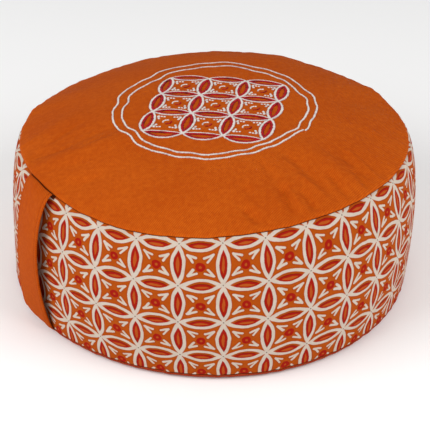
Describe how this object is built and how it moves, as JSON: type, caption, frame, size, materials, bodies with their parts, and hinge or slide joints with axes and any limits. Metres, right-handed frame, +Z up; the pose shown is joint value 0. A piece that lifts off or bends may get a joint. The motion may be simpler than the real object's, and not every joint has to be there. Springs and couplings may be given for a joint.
{
  "type": "zafu meditation cushion",
  "caption": "Round filled meditation cushion: crowned plain top, swollen printed side band, flat plain underside and a carrying handle sewn in at both seams.",
  "frame": {"origin": "middle of the flat underside, on the floor, on the axis of the round drum", "axes": "+Z up through the crown; the carrying handle is centred on -X"},
  "size_m": [0.3682, 0.363, 0.1612],
  "materials": {
    "orange_twill": "matte cotton twill, burnt orange, fine diagonal weave",
    "printed_cotton": "matte cotton printed with an off-white and red overlapping-circles lattice on burnt orange",
    "embroidery_thread": "satin-stitched rayon thread, off-white and crimson"
  },
  "bodies": {
    "root": {"top_panel": "orange_twill", "side_band": "printed_cotton", "bottom_panel": "orange_twill", "handle": "orange_twill"}
  },
  "joints": []
}
